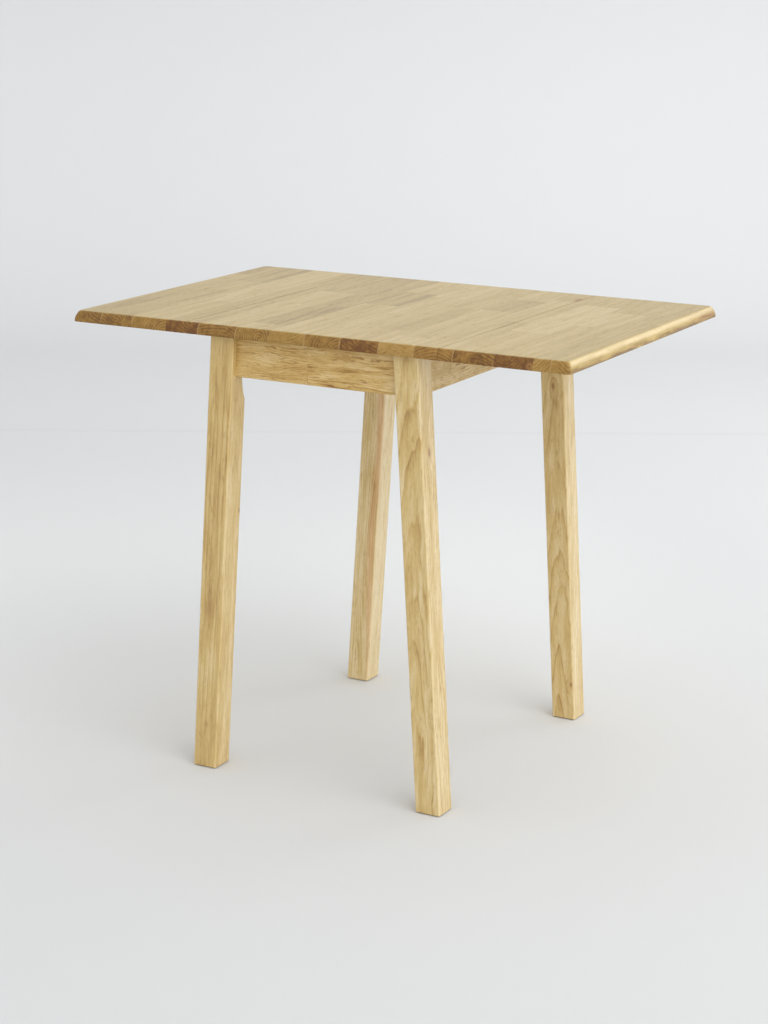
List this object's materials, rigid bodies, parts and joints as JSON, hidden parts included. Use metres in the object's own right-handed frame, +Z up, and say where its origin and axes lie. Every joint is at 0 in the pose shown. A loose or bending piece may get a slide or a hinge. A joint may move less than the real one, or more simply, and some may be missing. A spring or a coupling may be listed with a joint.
{
  "type": "butterfly folding table",
  "caption": "Folding dining table in pale rubberwood: a fixed centre board on a splayed square-leg frame, with hinged drop leaves at both ends held up by sliding metal stays.",
  "frame": {"origin": "on the floor, under the middle of the raised top", "axes": "+X along the length of the raised top, +Y across it, +Z up"},
  "size_m": [0.88, 0.58, 0.745],
  "materials": {
    "rubberwood_board": "edge-glued staves under clear satin lacquer",
    "rubberwood_frame": "solid rubberwood under clear satin lacquer",
    "zinc_steel": "bright zinc plate",
    "nylon": "moulded nylon"
  },
  "bodies": {
    "frame": {"near_left_leg": "rubberwood_frame", "far_left_leg": "rubberwood_frame", "near_right_leg": "rubberwood_frame", "far_right_leg": "rubberwood_frame", "near_apron": "rubberwood_frame", "far_apron": "rubberwood_frame", "left_apron": "rubberwood_frame", "right_apron": "rubberwood_frame", "fixed_top": "rubberwood_board", "near_left_corner_bracket": "zinc_steel", "far_left_corner_bracket": "zinc_steel", "near_right_corner_bracket": "zinc_steel", "far_right_corner_bracket": "zinc_steel", "hanger_bolts": "zinc_steel", "hanger_washers": "zinc_steel", "hanger_nuts": "zinc_steel", "corner_bracket_screws": "zinc_steel", "top_clips": "zinc_steel", "top_clip_screws": "zinc_steel", "apron_screws": "zinc_steel", "fixed_top_hinge_screws": "zinc_steel", "stay_bracket_screws": "zinc_steel", "left_near_hinge_frame_plate": "zinc_steel", "left_near_hinge_pin": "zinc_steel", "left_far_hinge_frame_plate": "zinc_steel", "left_far_hinge_pin": "zinc_steel", "right_near_hinge_frame_plate": "zinc_steel", "right_near_hinge_pin": "zinc_steel", "right_far_hinge_frame_plate": "zinc_steel", "right_far_hinge_pin": "zinc_steel", "left_stay_bracket": "zinc_steel", "left_stay_rivet": "zinc_steel", "right_stay_bracket": "zinc_steel", "right_stay_rivet": "zinc_steel", "near_left_glide": "nylon", "far_left_glide": "nylon", "near_right_glide": "nylon", "far_right_glide": "nylon"},
    "left_leaf": {"left_leaf": "rubberwood_board", "left_near_hinge_leaf_plate": "zinc_steel", "left_far_hinge_leaf_plate": "zinc_steel", "left_leaf_hinge_screws": "zinc_steel", "left_rail": "zinc_steel", "left_rail_screws": "zinc_steel"},
    "right_leaf": {"right_leaf": "rubberwood_board", "right_near_hinge_leaf_plate": "zinc_steel", "right_far_hinge_leaf_plate": "zinc_steel", "right_leaf_hinge_screws": "zinc_steel", "right_rail": "zinc_steel", "right_rail_screws": "zinc_steel"},
    "left_strut": {"left_strut": "zinc_steel", "left_slide_pin": "zinc_steel", "left_slide_discs": "nylon"},
    "right_strut": {"right_strut": "zinc_steel", "right_slide_pin": "zinc_steel", "right_slide_discs": "nylon"}
  },
  "joints": [
    {"name": "left_leaf_hinge", "type": "hinge", "parent": "frame", "child": "left_leaf", "pos_m": [-0.224, 0, 0.727], "axis": [0, -1, 0], "range_deg": [0, 90]},
    {"name": "right_leaf_hinge", "type": "hinge", "parent": "frame", "child": "right_leaf", "pos_m": [0.224, 0, 0.727], "axis": [0, 1, 0], "range_deg": [0, 90]},
    {"name": "left_stay_pivot", "type": "hinge", "parent": "frame", "child": "left_strut", "pos_m": [-0.1903, 0, 0.691], "axis": [0, -1, 0], "range_deg": [0, 91.1]},
    {"name": "right_stay_pivot", "type": "hinge", "parent": "frame", "child": "right_strut", "pos_m": [0.1903, 0, 0.691], "axis": [0, 1, 0], "range_deg": [0, 91.1]}
  ],
  "couplings": [
    {"joint": "left_stay_pivot", "follows": "left_leaf_hinge", "ratio": 1.0115},
    {"joint": "right_stay_pivot", "follows": "right_leaf_hinge", "ratio": 1.0115}
  ]
}
